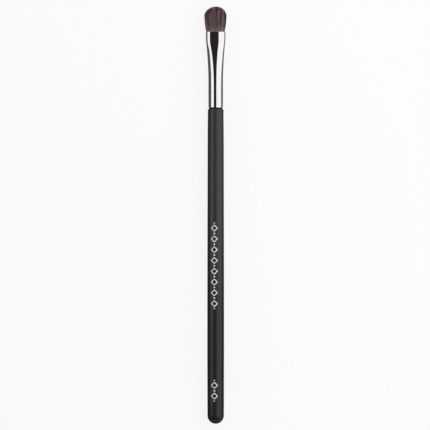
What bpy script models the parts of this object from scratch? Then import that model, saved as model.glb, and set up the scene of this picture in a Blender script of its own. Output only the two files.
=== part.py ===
"""A makeup brush for eye colour, lying on a table.

A turned wooden handle carries a drawn metal ferrule, round where it grips the handle and flattened
at its mouth. The ferrule holds a domed tuft of hair, tied with thread and set in resin.

Units are metres. Each piece is modelled upright on the brush's own axis: butt at height zero, hair
at the top, width along X, and the face seen in the photograph towards -Y. The empty brush_axis then
lays the brush down on the underside of its handle, with the hair towards +Y and that face up.
"""

import math
import random

import bmesh
import bpy
from mathutils import Matrix, Vector

MM = 0.001
SIDES = 46  # a facet, not a corner, then lies at the top and at the underside
MERGE = 0.001 * MM
SHARP_DEGREES = 35

# Handle, with its heights from the butt
HANDLE_LENGTH = 128.1 * MM  # butt to shoulder, without the tenon
HANDLE_BELLY_RADIUS = 3.42 * MM
HANDLE_NECK_RADIUS = 3.195 * MM
BUTT_RADIUS = 3.34 * MM
BUTT_STEPS = 7
SHOULDER_ROUND_HEIGHT = 0.7 * MM
SHOULDER_ROUND_DEPTH = 0.35 * MM
SHOULDER_STEPS = 4
# Pairs of a place along the handle and the swell there, from the neck's radius to the belly's
LOWER_SWELL_SHARES = ((0.073, 0.78), (0.150, 0.88), (0.234, 1.0), (0.392, 0.93))
REST_START_SHARES = (0.484, 0.87)
REST_END_SHARES = (0.874, 0.42)
UPPER_SWELL_SHARES = ((0.933, 0.27), (0.971, 0.02))
REST_FLAT_DEPTH = 0.12 * MM  # the underside is cut flat by this much, so that the brush lies still
REST_RUN_OUT_DEGREES = 0.3  # slope in which the flat runs out past both of its ends

# Tenon, the handle's spigot inside the ferrule
TENON_LENGTH = 9.0 * MM
TENON_CHAMFER = 0.5 * MM
COLLAR_RADIUS = 2.75 * MM  # step under the tenon, seen as a dark line between shoulder and ferrule

# Ferrule, with its heights from its lower end
FERRULE_LENGTH = 30.95 * MM
FERRULE_STANDOFF = 0.55 * MM  # shoulder to the ferrule's lower end
FERRULE_WALL = 0.3 * MM
FERRULE_BASE_RADIUS = 2.95 * MM
MOUTH_HALF_WIDTH = 3.96 * MM
MOUTH_HALF_DEPTH = 1.8 * MM
FLATTEN_START = 7.65 * MM  # where its two faces start to flatten
FLATTEN_END = 25.65 * MM
FLARE_START = 9.65 * MM  # where the tube starts to widen
FLARE_END = 27.65 * MM  # from here up it runs straight to the mouth
PRESS_POWER = 2.0
ROUND_EXPONENT = 2.0
MOUTH_EXPONENT = 2.4  # fuller than an ellipse, as a pinched tube is
FLATTEN_STEPS = 12
LIP_HEIGHT = 1.6 * MM  # the lower end is rolled a little inwards
LIP_TUCK = 0.15 * MM
LIP_STEPS = 4

# Adhesive that fills the joint between tenon and ferrule
ADHESIVE_THICKNESS = 0.15 * MM
JOINT_CLEARANCE = 0.05 * MM

# Root of the hair inside the ferrule, with depths from the mouth
CONTENT_CLEARANCE = 0.1 * MM
BUNDLE_TOP_DEPTH = 0.8 * MM
BUNDLE_BOTTOM_DEPTH = 8.9 * MM
BUNDLE_STEPS = 4
RESIN_LENGTH = 3.8 * MM
RESIN_STEPS = 4
BINDING_TURNS = 4
BINDING_THREAD = 0.36 * MM
BINDING_VALLEY_SHARE = 0.25  # depth of the valley between two turns, of the thread's thickness
BINDING_INSET = 0.12 * MM  # thread lies this far inside the ferrule's bore
BINDING_RISE = 1.4 * MM  # from the bundle's lower end to the first turn

# Free hair above the mouth
HAIR_LENGTH = 10.4 * MM  # mouth to the top of the dome
HAIR_HALF_WIDTH = 4.53 * MM
HAIR_HALF_DEPTH = 2.7 * MM
DOME_HEIGHT = 4.3 * MM
DOME_EXPONENT = 2.2
STRAND_PITCH = 0.235 * MM
STRAND_RADIUS = 0.09 * MM
STRAND_SIDES = 3
STRAND_OVERRUN = 0.3 * MM  # how deep a strand is rooted in the bundle
# Pairs of a place from the mouth to the strand's tip and the thickness there
STRAND_TAPER_SHARES = ((0.0, 1.0), (0.5, 1.3), (1.0, 0.5))
STRAND_JITTER_SHARE = 0.06
STRAND_LENGTH_SPREAD_SHARE = 0.05
OUTER_STRAND_SHARE = 0.96  # rim kept free, so that strands clear the ferrule
HAIR_SEED = 11

# Heights on the brush's axis that several pieces share
FERRULE_START = HANDLE_LENGTH + FERRULE_STANDOFF
MOUTH_HEIGHT = FERRULE_START + FERRULE_LENGTH
BRUSH_LENGTH = MOUTH_HEIGHT + HAIR_LENGTH
BUNDLE_TOP = MOUTH_HEIGHT - BUNDLE_TOP_DEPTH
BUNDLE_BOTTOM = MOUTH_HEIGHT - BUNDLE_BOTTOM_DEPTH
BORE_RADIUS = FERRULE_BASE_RADIUS - FERRULE_WALL
TENON_RADIUS = BORE_RADIUS - 2 * JOINT_CLEARANCE - ADHESIVE_THICKNESS
COLLAR_TOP = FERRULE_START - JOINT_CLEARANCE

# name: (base colour, roughness, metallic)
FINISHES = {
    "black_lacquer": ((0.028, 0.028, 0.031), 0.42, 0.0),
    "plated_metal": ((0.86, 0.86, 0.87), 0.08, 1.0),
    "brown_hair": ((0.105, 0.062, 0.062), 0.55, 0.0),
    "clear_resin": ((0.62, 0.45, 0.22), 0.15, 0.0),
    "cotton_thread": ((0.72, 0.68, 0.58), 0.8, 0.0),
    "wood_glue": ((0.82, 0.76, 0.6), 0.5, 0.0),
}


def clear_scene():
    for obj in list(bpy.data.objects):
        bpy.data.objects.remove(obj)


def new_collection(name):
    collection = bpy.data.collections.new(name)
    bpy.context.scene.collection.children.link(collection)
    return collection


def finish_material(name):
    colour, roughness, metallic = FINISHES[name]
    material = bpy.data.materials.new(name)
    material.use_nodes = True
    shader = material.node_tree.nodes["Principled BSDF"]
    shader.inputs["Base Color"].default_value = (*colour, 1.0)
    shader.inputs["Roughness"].default_value = roughness
    shader.inputs["Metallic"].default_value = metallic
    return material


def press_share(place, start, end):
    """Zero up to the start, then rising ever faster to one at the end."""
    return min(max((place - start) / (end - start), 0.0), 1.0) ** PRESS_POWER


def between(start, end, share):
    return start + (end - start) * share


def spread(start, end, steps):
    return [between(start, end, step / steps) for step in range(steps + 1)]


def quarter_round(steps):
    """Pairs of cosine and sine from the start of a quarter turn to its end."""
    turns = spread(0.0, math.pi / 2, steps)
    return [(math.cos(turn), math.sin(turn)) for turn in turns]


class Bench:
    """Adds pieces to the brush: one object each, on the brush's axis, with its own finish."""

    def __init__(self, collection, axis):
        self.collection = collection
        self.axis = axis

    def add(self, name, mesh, base, finish):
        """Seats a mesh drawn in axis heights on its own origin, at the height named base."""
        for vertex in mesh.vertices:
            vertex.co.z -= base
        obj = bpy.data.objects.new(name, mesh)
        obj.location.z = base
        obj.parent = self.axis
        mesh.materials.append(finish_material(finish))
        self.collection.objects.link(obj)
        return obj

    def settle(self, obj):
        """Applies the modifiers, then shades the round faces smooth and keeps the edges crisp."""
        graph = bpy.context.evaluated_depsgraph_get()
        mesh = bpy.data.meshes.new_from_object(obj.evaluated_get(graph))
        obj.modifiers.clear()
        obj.data = mesh
        mesh.shade_smooth()
        mesh.set_sharp_from_angle(angle=math.radians(SHARP_DEGREES))
        return obj

    def turned(self, name, profile, base, finish, ring=False):
        """Turns a profile of radius and height about the axis. A ring's profile is closed."""
        mesh = bpy.data.meshes.new(name)
        edges = [(index, index + 1) for index in range(len(profile) - 1)]
        if ring:
            edges.append((len(profile) - 1, 0))
        mesh.from_pydata([(radius, 0, height) for radius, height in profile], edges, [])
        obj = self.add(name, mesh, base, finish)
        screw = obj.modifiers.new("turn", "SCREW")
        screw.axis = "Z"
        screw.steps = SIDES
        screw.render_steps = SIDES
        screw.use_merge_vertices = True
        screw.merge_threshold = MERGE
        return self.settle(obj)

    def lofted(self, name, rings, base, finish, loop=False):
        """Skins a stack of rings, from the lowest up. A loop joins its last ring to its first."""
        work = bmesh.new()
        loops = [[work.verts.new(point) for point in ring] for ring in rings]
        pairs = list(zip(loops, loops[1:]))
        if loop:
            pairs.append((loops[-1], loops[0]))
        for lower, upper in pairs:
            for index in range(SIDES):
                after = (index + 1) % SIDES
                work.faces.new((lower[index], lower[after], upper[after], upper[index]))
        if not loop:
            work.faces.new(reversed(loops[0]))
            work.faces.new(loops[-1])
        mesh = bpy.data.meshes.new(name)
        work.to_mesh(mesh)
        work.free()
        return self.settle(self.add(name, mesh, base, finish))


def swell_point(shares):
    """Radius and height of the handle at one pair of shares."""
    place_share, swell_share = shares
    radius = between(HANDLE_NECK_RADIUS, HANDLE_BELLY_RADIUS, swell_share)
    return radius, HANDLE_LENGTH * place_share


def handle_profile():
    """Outline of the handle from the middle of the tenon's end down to the butt's pole."""
    tenon_top = HANDLE_LENGTH + TENON_LENGTH
    outline = [
        (0.0, tenon_top),
        (TENON_RADIUS - TENON_CHAMFER, tenon_top),
        (TENON_RADIUS, tenon_top - TENON_CHAMFER),
        (TENON_RADIUS, COLLAR_TOP),
        (COLLAR_RADIUS, COLLAR_TOP),
        (COLLAR_RADIUS, HANDLE_LENGTH),
    ]
    for cosine, sine in quarter_round(SHOULDER_STEPS):
        radius = HANDLE_NECK_RADIUS - SHOULDER_ROUND_DEPTH * (1 - sine)
        outline.append((radius, HANDLE_LENGTH - SHOULDER_ROUND_HEIGHT * (1 - cosine)))
    swells = [*LOWER_SWELL_SHARES, REST_START_SHARES, REST_END_SHARES, *UPPER_SWELL_SHARES]
    outline += [swell_point(shares) for shares in reversed(swells)]
    for cosine, sine in quarter_round(BUTT_STEPS):
        outline.append((BUTT_RADIUS * cosine, BUTT_RADIUS * (1 - sine)))
    return outline


def rest_points():
    """Ends of the flat that the brush lies on, on the seen face's far side of the axis."""
    facet_share = math.cos(math.pi / SIDES)
    ends = [swell_point(shares) for shares in (REST_START_SHARES, REST_END_SHARES)]
    return [Vector((0.0, radius * facet_share - REST_FLAT_DEPTH, height)) for radius, height in ends]


def rest_planes():
    """Pairs of a point and an outward normal: the flat, then the slopes at its two ends."""
    start, end = rest_points()
    across = Vector((1.0, 0.0, 0.0))
    outward = across.cross(start - end).normalized()
    slope = math.radians(REST_RUN_OUT_DEGREES)
    return [
        (start, outward),
        (start, Matrix.Rotation(-slope, 3, across) @ outward),
        (end, Matrix.Rotation(slope, 3, across) @ outward),
    ]


def build_handle(bench):
    """Turns the handle and cuts its underside flat where it lies."""
    handle = bench.turned("handle", handle_profile(), 0.0, "black_lacquer")
    work = bmesh.new()
    work.from_mesh(handle.data)
    for point, outward in rest_planes():
        cut = bmesh.ops.bisect_plane(
            work,
            geom=[*work.verts, *work.edges, *work.faces],
            dist=MERGE,
            plane_co=point,
            plane_no=outward,
            clear_outer=True,
        )
        rim = [item for item in cut["geom_cut"] if isinstance(item, bmesh.types.BMEdge)]
        bmesh.ops.holes_fill(work, edges=rim, sides=len(rim))
    work.to_mesh(handle.data)
    work.free()


def ferrule_sizes(height):
    """Half width, half depth and exponent of the ferrule's outside at an axis height."""
    place = height - FERRULE_START
    wide = press_share(place, FLARE_START, FLARE_END)
    flat = press_share(place, FLATTEN_START, FLATTEN_END)
    half_width = between(FERRULE_BASE_RADIUS, MOUTH_HALF_WIDTH, wide)
    half_depth = between(FERRULE_BASE_RADIUS, MOUTH_HALF_DEPTH, flat)
    return half_width, half_depth, between(ROUND_EXPONENT, MOUTH_EXPONENT, flat)


def oval(half_width, half_depth, exponent, height):
    """One ring, counter-clockwise from +X seen from above."""
    points = []
    for step in range(SIDES):
        angle = 2 * math.pi * step / SIDES
        across, along = math.cos(angle), math.sin(angle)
        x = half_width * math.copysign(abs(across) ** (2 / exponent), across)
        y = half_depth * math.copysign(abs(along) ** (2 / exponent), along)
        points.append(Vector((x, y, height)))
    return points


def ferrule_ring(height, inset):
    """Ring that lies inside the ferrule's outer face by the inset."""
    half_width, half_depth, exponent = ferrule_sizes(height)
    return oval(half_width - inset, half_depth - inset, exponent, height)


def ferrule_stations():
    """Pairs of axis height and inward tuck, from the rolled lip at the lower end up to the mouth."""
    lip = [
        (FERRULE_START + LIP_HEIGHT * (1 - sine), LIP_TUCK * (1 - cosine))
        for cosine, sine in reversed(quarter_round(LIP_STEPS))
    ]
    pressed = spread(FERRULE_START + FLATTEN_START, FERRULE_START + FLATTEN_END, FLATTEN_STEPS)
    top = [FERRULE_START + FLARE_END, MOUTH_HEIGHT]
    return lip + [(height, 0.0) for height in pressed + top]


def build_ferrule(bench):
    outside = [ferrule_ring(height, tuck) for height, tuck in ferrule_stations()]
    bore = [ferrule_ring(height, tuck + FERRULE_WALL) for height, tuck in ferrule_stations()]
    bench.lofted("ferrule", outside + bore[::-1], FERRULE_START, "plated_metal", loop=True)


def build_tenon_adhesive(bench):
    inner = TENON_RADIUS + JOINT_CLEARANCE
    outer = inner + ADHESIVE_THICKNESS
    bottom = FERRULE_START + LIP_HEIGHT + JOINT_CLEARANCE
    top = HANDLE_LENGTH + TENON_LENGTH - TENON_CHAMFER - JOINT_CLEARANCE
    outline = [(outer, top), (outer, bottom), (inner, bottom), (inner, top)]
    bench.turned("tenon_adhesive", outline, bottom, "wood_glue", ring=True)


def build_root_resin(bench):
    top = BUNDLE_BOTTOM - CONTENT_CLEARANCE
    inset = FERRULE_WALL + CONTENT_CLEARANCE
    rings = [ferrule_ring(height, inset) for height in spread(top - RESIN_LENGTH, top, RESIN_STEPS)]
    bench.lofted("root_resin", rings, top - RESIN_LENGTH, "clear_resin")


def binding_span():
    """Lowest and highest axis height of the thread's turns."""
    low = BUNDLE_BOTTOM + BINDING_RISE
    return low, low + BINDING_TURNS * BINDING_THREAD


def build_root_binding(bench):
    """Close-laid turns of thread: a band with one rib a turn."""
    low, high = binding_span()
    ridge = FERRULE_WALL + BINDING_INSET
    valley = ridge + BINDING_THREAD * BINDING_VALLEY_SHARE
    heights = spread(low, high, 2 * BINDING_TURNS)
    outside = [
        ferrule_ring(height, ridge if index % 2 else valley) for index, height in enumerate(heights)
    ]
    inside = [ferrule_ring(height, ridge + BINDING_THREAD) for height in (low, high)]
    bench.lofted("root_binding", outside + inside[::-1], low, "cotton_thread", loop=True)


def bundle_stations():
    """Pairs of axis height and inset of the packed hair, with the waist that the thread draws in."""
    low, high = binding_span()
    skin = FERRULE_WALL + CONTENT_CLEARANCE
    waist = FERRULE_WALL + BINDING_INSET + BINDING_THREAD + CONTENT_CLEARANCE
    waist_low = low - CONTENT_CLEARANCE
    waist_high = high + CONTENT_CLEARANCE
    stations = [
        (BUNDLE_BOTTOM, skin),
        (waist_low - CONTENT_CLEARANCE, skin),
        (waist_low, waist),
        (waist_high, waist),
    ]
    return stations + [
        (height, skin)
        for height in spread(waist_high + CONTENT_CLEARANCE, BUNDLE_TOP, BUNDLE_STEPS)
    ]


def bundle_top_sizes():
    """Half width, half depth and exponent of the packed hair where the strands leave it."""
    half_width, half_depth, exponent = ferrule_sizes(BUNDLE_TOP)
    inset = FERRULE_WALL + CONTENT_CLEARANCE
    return half_width - inset, half_depth - inset, exponent


def strand_roots():
    """Shares across and along the bundle, reach from its middle and shortening of each strand."""
    rng = random.Random(HAIR_SEED)
    half_width, half_depth, exponent = bundle_top_sizes()
    row_pitch = STRAND_PITCH * math.sqrt(3) / 2
    rows = math.ceil(half_depth / row_pitch)
    columns = math.ceil(half_width / STRAND_PITCH) + 1
    roots = []
    for row in range(-rows, rows + 1):
        for column in range(-columns, columns + 1):
            stagger = (row % 2) / 2
            shift_x, shift_y = (rng.uniform(-1, 1) * STRAND_JITTER_SHARE for _ in range(2))
            across = (column + stagger + shift_x) * STRAND_PITCH / half_width
            along = (row * row_pitch + shift_y * STRAND_PITCH) / half_depth
            reach = (abs(across) ** exponent + abs(along) ** exponent) ** (1 / exponent)
            shortening = rng.uniform(0, STRAND_LENGTH_SPREAD_SHARE)
            if reach < OUTER_STRAND_SHARE:
                roots.append((across, along, reach / OUTER_STRAND_SHARE, shortening))
    return roots


def tuft_half_sizes(height):
    """Half width and half depth that the strands share out at an axis height above the bundle."""
    start_width, start_depth, _ = bundle_top_sizes()
    belly_height = BRUSH_LENGTH - DOME_HEIGHT
    rise = min(max((height - MOUTH_HEIGHT) / (belly_height - MOUTH_HEIGHT), 0.0), 1.0)
    opening = math.sin(rise * math.pi / 2)
    return (
        between(start_width, HAIR_HALF_WIDTH / OUTER_STRAND_SHARE, opening),
        between(start_depth, HAIR_HALF_DEPTH / OUTER_STRAND_SHARE, opening),
    )


def strand_line(root):
    """Points of one strand and its thickness share there, from inside the bundle to the dome."""
    across, along, reach, shortening = root
    dome = DOME_HEIGHT * (1 - reach**DOME_EXPONENT) ** (1 / DOME_EXPONENT)
    tip = BRUSH_LENGTH - DOME_HEIGHT + dome - shortening * HAIR_LENGTH
    stations = [(BUNDLE_TOP - STRAND_OVERRUN, STRAND_TAPER_SHARES[0][1])]
    for place_share, thickness_share in STRAND_TAPER_SHARES:
        stations.append((between(MOUTH_HEIGHT, tip, place_share), thickness_share))
    line = []
    for height, thickness_share in stations:
        half_width, half_depth = tuft_half_sizes(height)
        line.append(((across * half_width, along * half_depth, height), thickness_share))
    return line


def curve_object(name, collection, lines, cyclic=False):
    """A curve of straight-sided splines through lines of points, each with a thickness share."""
    curve = bpy.data.curves.new(name, "CURVE")
    curve.dimensions = "3D"
    for line in lines:
        spline = curve.splines.new("POLY")
        spline.points.add(len(line) - 1)
        spline.use_cyclic_u = cyclic
        for point, (place, thickness_share) in zip(spline.points, line):
            point.co = (*place, 1.0)
            point.radius = thickness_share
    obj = bpy.data.objects.new(name, curve)
    collection.objects.link(obj)
    return obj


def strand_mesh(collection, lines):
    """Sweeps a small section along every strand's line and closes the ends."""
    corners = []
    for corner in range(STRAND_SIDES):
        angle = 2 * math.pi * corner / STRAND_SIDES
        corners.append(((STRAND_RADIUS * math.cos(angle), STRAND_RADIUS * math.sin(angle), 0), 1.0))
    section = curve_object("strand_section", collection, [corners], cyclic=True)
    strands = curve_object("strand_lines", collection, lines)
    strands.data.bevel_mode = "OBJECT"
    strands.data.bevel_object = section
    strands.data.use_fill_caps = True
    graph = bpy.context.evaluated_depsgraph_get()
    mesh = bpy.data.meshes.new_from_object(strands.evaluated_get(graph))
    work = bmesh.new()
    work.from_mesh(mesh)
    bmesh.ops.remove_doubles(work, verts=work.verts, dist=MERGE)
    bmesh.ops.recalc_face_normals(work, faces=work.faces)
    work.to_mesh(mesh)
    work.free()
    for helper in (strands, section):
        bpy.data.objects.remove(helper)
    return mesh


def build_hair_tuft(bench):
    """Packed hair inside the ferrule, with the free strands fused to its upper end."""
    rings = [ferrule_ring(height, inset) for height, inset in bundle_stations()]
    tuft = bench.lofted("hair_tuft", rings, BUNDLE_BOTTOM, "brown_hair")
    lines = [strand_line(root) for root in strand_roots()]
    free_hair = bench.add("free_hair", strand_mesh(bench.collection, lines), BUNDLE_BOTTOM, "brown_hair")
    union = tuft.modifiers.new("free_hair", "BOOLEAN")
    union.operation = "UNION"
    union.solver = "EXACT"
    union.object = free_hair
    bpy.context.view_layer.update()
    bench.settle(tuft)
    bpy.data.objects.remove(free_hair)
    print(f"{len(lines)} strands")


def lay_down(axis):
    """Lays the brush on the flat under its handle, over the origin."""
    start, end = rest_points()
    pitch = math.atan2(start.y - end.y, end.z - start.z)
    lift = start.z * math.sin(pitch) + start.y * math.cos(pitch)
    axis.rotation_euler = (-(math.pi / 2 + pitch), 0.0, 0.0)
    axis.location = (0.0, -BRUSH_LENGTH / 2, lift)


def main():
    clear_scene()
    brush = new_collection("makeup_brush")
    axis = bpy.data.objects.new("brush_axis", None)
    brush.objects.link(axis)
    lay_down(axis)
    bench = Bench(brush, axis)
    build_handle(bench)
    build_ferrule(bench)
    build_tenon_adhesive(bench)
    build_root_resin(bench)
    build_root_binding(bench)
    build_hair_tuft(bench)


main()
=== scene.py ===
"""Dresses the makeup brush: a lacquered handle, a plated ferrule and a tuft of brown hair.

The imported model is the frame. New pieces are drawn upright in brush heights, measured from the
butt's end towards the hair's tip, with the width along X and the seen face towards -Y. They are
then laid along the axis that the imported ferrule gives.
"""

from __future__ import annotations

import logging
import math
import random
from dataclasses import dataclass, field
from enum import Enum

import bmesh
import bpy
import numpy as np
from mathutils import Matrix, Vector

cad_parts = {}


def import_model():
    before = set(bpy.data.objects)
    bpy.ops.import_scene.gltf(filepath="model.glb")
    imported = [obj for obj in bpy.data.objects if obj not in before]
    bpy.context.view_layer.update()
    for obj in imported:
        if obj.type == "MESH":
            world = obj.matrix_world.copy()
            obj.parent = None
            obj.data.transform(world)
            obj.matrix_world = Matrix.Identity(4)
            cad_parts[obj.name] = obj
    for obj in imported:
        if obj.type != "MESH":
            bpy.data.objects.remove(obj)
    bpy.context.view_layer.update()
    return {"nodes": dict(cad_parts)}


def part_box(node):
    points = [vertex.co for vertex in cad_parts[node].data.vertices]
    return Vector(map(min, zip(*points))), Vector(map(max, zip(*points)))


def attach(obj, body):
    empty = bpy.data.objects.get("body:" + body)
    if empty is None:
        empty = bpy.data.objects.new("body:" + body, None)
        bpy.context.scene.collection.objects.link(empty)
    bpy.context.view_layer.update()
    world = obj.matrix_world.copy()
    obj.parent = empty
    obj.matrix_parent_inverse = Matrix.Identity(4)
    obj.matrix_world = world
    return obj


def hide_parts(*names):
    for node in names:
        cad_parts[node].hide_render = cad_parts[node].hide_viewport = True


MM = 0.001
MERGE = 0.0005 * MM
AROUND = 128
CARD_SIDE = 6.0 * MM

LOG = logging.getLogger("makeup_brush")

Outline = list[tuple[float, float]]
Span = tuple[float, float]
Colour = tuple[float, float, float, float]

WHITE: Colour = (1.0, 1.0, 1.0, 1.0)
BLACK: Colour = (0.0, 0.0, 0.0, 1.0)


class HairLayer(Enum):
    """Where a strand stands in the tuft."""

    INNER = "inner_hair"
    MIDDLE = "middle_hair"
    OUTER = "outer_hair"


def between(start: float, end: float, share: float) -> float:
    """Returns the value at a share of the way from start to end."""
    return start + (end - start) * share


def way_share(place: float, start: float, end: float, power: float = 1.0) -> float:
    """Returns how far a place is from start to end, held from zero to one, raised to a power."""
    return min(max((place - start) / (end - start), 0.0), 1.0) ** power


def quarter_round(steps: int) -> Outline:
    """Returns pairs of cosine and sine from the start of a quarter turn to its end."""
    turns = np.linspace(0.0, math.pi / 2, steps + 1)
    return [(math.cos(turn), math.sin(turn)) for turn in turns]


@dataclass(frozen=True)
class BrushAxis:
    """The line through the middle of the brush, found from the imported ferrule.

    Attributes:
        butt: The point on the line at the end of the butt.
        slope: Rise of the line along Y.
    """

    butt: Vector
    slope: float

    @classmethod
    def through(cls, ferrule: bpy.types.Object, butt_y: float) -> BrushAxis:
        """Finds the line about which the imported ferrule's rings lie evenly.

        Args:
            ferrule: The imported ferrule's object.
            butt_y: Place of the butt's end along Y.

        Returns:
            The axis.
        """
        digits = 7
        points = np.array([vertex.co for vertex in ferrule.data.vertices])
        points = np.unique(points.round(digits), axis=0)
        middle = points.mean(axis=0)
        _, along, upward = np.linalg.svd(points - middle, full_matrices=False)[2][0]
        slope = float(upward / along)
        butt_z = float(middle[2]) + slope * (butt_y - float(middle[1]))
        return cls(Vector((0.0, butt_y, butt_z)), slope)

    @property
    def placing(self) -> Matrix:
        """Takes a place drawn upright in brush heights to the frame."""
        turn = Matrix.Rotation(math.atan(self.slope) - math.pi / 2, 4, "X")
        return Matrix.Translation(self.butt) @ turn

    def table(self) -> tuple[Vector, Vector]:
        """Returns a point of the table and the way down, in upright brush heights."""
        upright = self.placing.inverted()
        return upright @ Vector(), upright.to_3x3() @ Vector((0.0, 0.0, -1.0))

    def ends(self, node: str) -> Span:
        """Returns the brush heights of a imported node's lower and upper end."""
        low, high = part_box(node)
        return low.y - self.butt.y, high.y - self.butt.y


class NodeSheet:
    """Adds nodes to one node tree and joins them."""

    def __init__(self, tree: bpy.types.NodeTree) -> None:
        """Keeps the tree that the nodes go in."""
        self.tree = tree

    def add(self, kind: str, values: dict | None = None, **settings) -> bpy.types.Node:
        """Adds one node.

        Args:
            kind: The node's type name, without its ShaderNode prefix.
            values: Socket name or number to a value, or to the output that feeds it.
            **settings: Properties of the node itself.

        Returns:
            The new node.
        """
        node = self.tree.nodes.new("ShaderNode" + kind)
        for name, value in settings.items():
            setattr(node, name, value)
        for socket, value in (values or {}).items():
            if isinstance(value, bpy.types.NodeSocket):
                self.tree.links.new(value, node.inputs[socket])
            else:
                node.inputs[socket].default_value = value
        return node

    def math(self, operation: str, *operands: object) -> bpy.types.NodeSocket:
        """Adds a Math node and returns its output."""
        return self.add("Math", dict(enumerate(operands)), operation=operation).outputs[0]

    def mix(self, share: object, first: object, second: object) -> bpy.types.NodeSocket:
        """Adds a colour mix and returns its output."""
        sockets = {0: share, 6: first, 7: second}
        return self.add("Mix", sockets, data_type="RGBA").outputs[2]

    def span(
        self, value: object, given: Span = (0.0, 1.0), wanted: Span = (0.0, 1.0)
    ) -> bpy.types.NodeSocket:
        """Stretches a value from one range to another, and holds it at both ends.

        Args:
            value: The value, or the output that gives it.
            given: The range that it has.
            wanted: The range that it gets.

        Returns:
            The stretched value's output.
        """
        return self.add("MapRange", dict(enumerate((value, *given, *wanted)))).outputs[0]

    def coordinates(self, kind: str = "Object") -> bpy.types.NodeSocket:
        """Adds a Texture Coordinate node and returns one of its outputs."""
        return self.add("TexCoord").outputs[kind]

    def parts(self, vector: bpy.types.NodeSocket) -> bpy.types.NodeOutputs:
        """Returns the outputs with the X, Y and Z of a vector."""
        return self.add("SeparateXYZ", {0: vector}).outputs


def shader_group(
    name: str, inputs: dict[str, float], output: str
) -> tuple[NodeSheet, bpy.types.Node, bpy.types.Node]:
    """Starts a shader node group with float sockets.

    Args:
        name: The group's name.
        inputs: Input name to its default value.
        output: Name of the single float output.

    Returns:
        A sheet for the group's nodes, and its input and output nodes.
    """
    group = bpy.data.node_groups.new(name, "ShaderNodeTree")
    for label, value in inputs.items():
        socket = group.interface.new_socket(label, in_out="INPUT", socket_type="NodeSocketFloat")
        socket.default_value = value
    group.interface.new_socket(output, in_out="OUTPUT", socket_type="NodeSocketFloat")
    start = group.nodes.new("NodeGroupInput")
    end = group.nodes.new("NodeGroupOutput")
    return NodeSheet(group), start, end


def streak_group() -> bpy.types.NodeTree:
    """Returns the group that draws fine streaks along the brush, made on first use."""
    name = "lengthwise_streaks"
    if name in bpy.data.node_groups:
        return bpy.data.node_groups[name]
    sheet, start, end = shader_group(name, {"Across": 4000.0, "Along": 60.0}, "Streaks")
    across, along = start.outputs["Across"], start.outputs["Along"]
    scale = sheet.add("CombineXYZ", {0: across, 1: along, 2: across}).outputs[0]
    stretched = sheet.add("VectorMath", {0: sheet.coordinates(), 1: scale}, operation="MULTIPLY")
    noise = sheet.add("TexNoise", {"Vector": stretched.outputs[0], "Scale": 1.0, "Detail": 2.0})
    sheet.tree.links.new(noise.outputs[0], end.inputs[0])
    return sheet.tree


def grain_group() -> bpy.types.NodeTree:
    """Returns the group that puts fine and broad unevenness together, made on first use."""
    name = "surface_grain"
    if name in bpy.data.node_groups:
        return bpy.data.node_groups[name]
    sheet, start, end = shader_group(name, {"Fine": 5000.0, "Broad": 250.0}, "Grain")
    place = sheet.coordinates()
    fine, broad = (
        sheet.add("TexNoise", {"Vector": place, "Scale": start.outputs[size], "Detail": detail})
        for size, detail in (("Fine", 3.0), ("Broad", 2.0))
    )
    total = sheet.math("ADD", fine.outputs[0], broad.outputs[0])
    sheet.tree.links.new(sheet.math("MULTIPLY", total, 0.5), end.inputs[0])
    return sheet.tree


class Paint:
    """A material in the making: its node sheet and its Principled shader."""

    def __init__(self, name: str, **sockets: object) -> None:
        """Starts the material.

        Args:
            name: The material's name.
            **sockets: Values of the shader's own sockets, with underscores for spaces.
        """
        self.material = bpy.data.materials.new(name)
        self.material.use_nodes = True
        self.sheet = NodeSheet(self.material.node_tree)
        self.shader = self.material.node_tree.nodes["Principled BSDF"]
        for socket, value in sockets.items():
            self.shader.inputs[socket.replace("_", " ")].default_value = value

    def feed(self, socket: str, source: bpy.types.NodeSocket) -> None:
        """Leads a node's output to one of the shader's sockets."""
        self.sheet.tree.links.new(source, self.shader.inputs[socket])

    def group(self, tree: bpy.types.NodeTree, *values: float) -> bpy.types.NodeSocket:
        """Places a node group with its own values and returns its output."""
        return self.sheet.add("Group", dict(enumerate(values)), node_tree=tree).outputs[0]

    def bump(self, height: bpy.types.NodeSocket, strength: float, distance: float) -> None:
        """Leads a height to the shader's normal."""
        values = {"Height": height, "Strength": strength, "Distance": distance}
        self.feed("Normal", self.sheet.add("Bump", values).outputs[0])


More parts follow.
